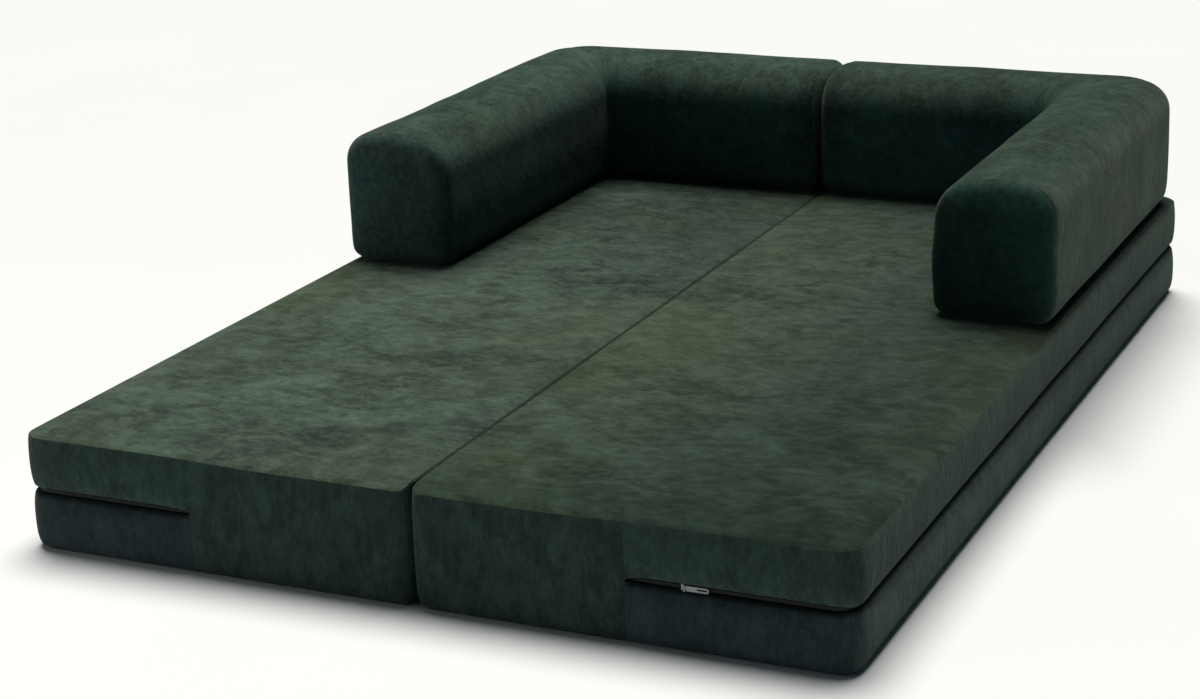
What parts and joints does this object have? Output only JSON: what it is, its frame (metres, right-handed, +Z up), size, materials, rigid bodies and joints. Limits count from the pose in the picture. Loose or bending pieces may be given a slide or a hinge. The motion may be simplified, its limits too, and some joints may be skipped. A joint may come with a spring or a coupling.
{
  "type": "sofa bed",
  "caption": "Low fold-out floor sofa bed: zipped foam mattress halves hinged along a top seam, with loose L-shaped corner bolsters, shown opened out as a bed.",
  "frame": {"origin": "on the floor under the middle of the opened bed", "axes": "+X across the bed to the right as seen from the foot, +Y along the bed to the bolsters at its head, +Z up"},
  "size_m": [1.4, 2, 0.4543],
  "materials": {
    "top_chenille": "deep green chenille, mottled nap",
    "side_chenille": "deep green chenille, upright nap",
    "lower_chenille": "deep green chenille, nap laid down, bluer",
    "bolster_chenille": "deep green chenille, brushed nap",
    "base_cloth": "dark woven base cloth",
    "zip_tape": "woven black tape",
    "zip_teeth": "black nylon coil",
    "zip_metal": "satin grey zinc",
    "foam": "open-cell foam",
    "wadding": "white polyester wadding"
  },
  "bodies": {
    "right_mattress": {"right_top_cover": "top_chenille", "right_base_cover": "base_cloth", "right_inner_band": "side_chenille", "right_upper_zip_band": "side_chenille", "right_lower_zip_band": "lower_chenille", "right_zip_tapes": "zip_tape", "right_zip_teeth": "zip_teeth", "right_foam_core": "foam", "right_wadding": "wadding", "fold_welt": "side_chenille"},
    "left_mattress": {"left_top_cover": "top_chenille", "left_base_cover": "base_cloth", "left_inner_band": "side_chenille", "left_upper_zip_band": "side_chenille", "left_lower_zip_band": "lower_chenille", "left_zip_tapes": "zip_tape", "left_zip_teeth": "zip_teeth", "left_foam_core": "foam", "left_wadding": "wadding"},
    "right_zip_slider": {"right_zip_slider": "zip_metal"},
    "right_zip_pull": {"right_zip_pull": "zip_metal"},
    "left_zip_slider": {"left_zip_slider": "zip_metal"},
    "left_zip_pull": {"left_zip_pull": "zip_metal"},
    "right_bolster": {"right_arm_cover": "bolster_chenille", "right_back_cover": "bolster_chenille", "right_arm_end_cap": "bolster_chenille", "right_back_end_cap": "bolster_chenille", "right_arm_core": "foam", "right_back_core": "foam", "right_bolster_zip": "zip_tape"},
    "left_bolster": {"left_arm_cover": "bolster_chenille", "left_back_cover": "bolster_chenille", "left_arm_end_cap": "bolster_chenille", "left_back_end_cap": "bolster_chenille", "left_arm_core": "foam", "left_back_core": "foam", "left_bolster_zip": "zip_tape"},
    "right_bolster_slider": {"right_bolster_slider": "zip_metal"},
    "right_bolster_pull": {"right_bolster_pull": "zip_metal"},
    "left_bolster_slider": {"left_bolster_slider": "zip_metal"},
    "left_bolster_pull": {"left_bolster_pull": "zip_metal"}
  },
  "joints": [
    {"name": "mattress_fold", "type": "hinge", "parent": "right_mattress", "child": "left_mattress", "pos_m": [0, 0, 0.2003], "axis": [0, 1, 0], "range_deg": [0, 180]},
    {"name": "left_bolster_carry", "type": "hinge", "parent": "left_mattress", "child": "left_bolster", "pos_m": [-0.72, 0.5, 0.3003], "axis": [0, 1, 0], "range_deg": [-180, 0]},
    {"name": "right_bolster_carry", "type": "hinge", "parent": "left_mattress", "child": "right_bolster", "pos_m": [-0.72, 0.5, 0.3003], "axis": [0, 1, 0], "range_deg": [-180, 0]},
    {"name": "right_zip_slide", "type": "slide", "parent": "right_mattress", "child": "right_zip_slider", "axis": [1, 0, 0], "range_m": [-0.05, 0.2]},
    {"name": "right_zip_pull_swing", "type": "hinge", "parent": "right_zip_slider", "child": "right_zip_pull", "pos_m": [0.44, -0.99237, 0.1], "axis": [0, 0, -1], "range_deg": [0, 175]},
    {"name": "left_zip_slide", "type": "slide", "parent": "left_mattress", "child": "left_zip_slider", "axis": [-1, 0, 0], "range_m": [-0.095, 0.12]},
    {"name": "left_zip_pull_swing", "type": "hinge", "parent": "left_zip_slider", "child": "left_zip_pull", "pos_m": [-0.52, 0.99237, 0.1], "axis": [0, 0, -1], "range_deg": [0, 175]},
    {"name": "right_bolster_zip_slide", "type": "slide", "parent": "right_bolster", "child": "right_bolster_slider", "axis": [-1, 0, 0], "range_m": [0, 0.3]},
    {"name": "right_bolster_pull_swing", "type": "hinge", "parent": "right_bolster_slider", "child": "right_bolster_pull", "pos_m": [0.4, 0.99017, 0.2623], "axis": [0, 0, -1], "range_deg": [0, 175]},
    {"name": "left_bolster_zip_slide", "type": "slide", "parent": "left_bolster", "child": "left_bolster_slider", "axis": [1, 0, 0], "range_m": [0, 0.3]},
    {"name": "left_bolster_pull_swing", "type": "hinge", "parent": "left_bolster_slider", "child": "left_bolster_pull", "pos_m": [-0.4, 0.99017, 0.2623], "axis": [0, 0, 1], "range_deg": [0, 175]}
  ],
  "couplings": [
    {"joint": "left_bolster_carry", "follows": "mattress_fold", "ratio": -1},
    {"joint": "right_bolster_carry", "follows": "mattress_fold", "ratio": -1}
  ]
}
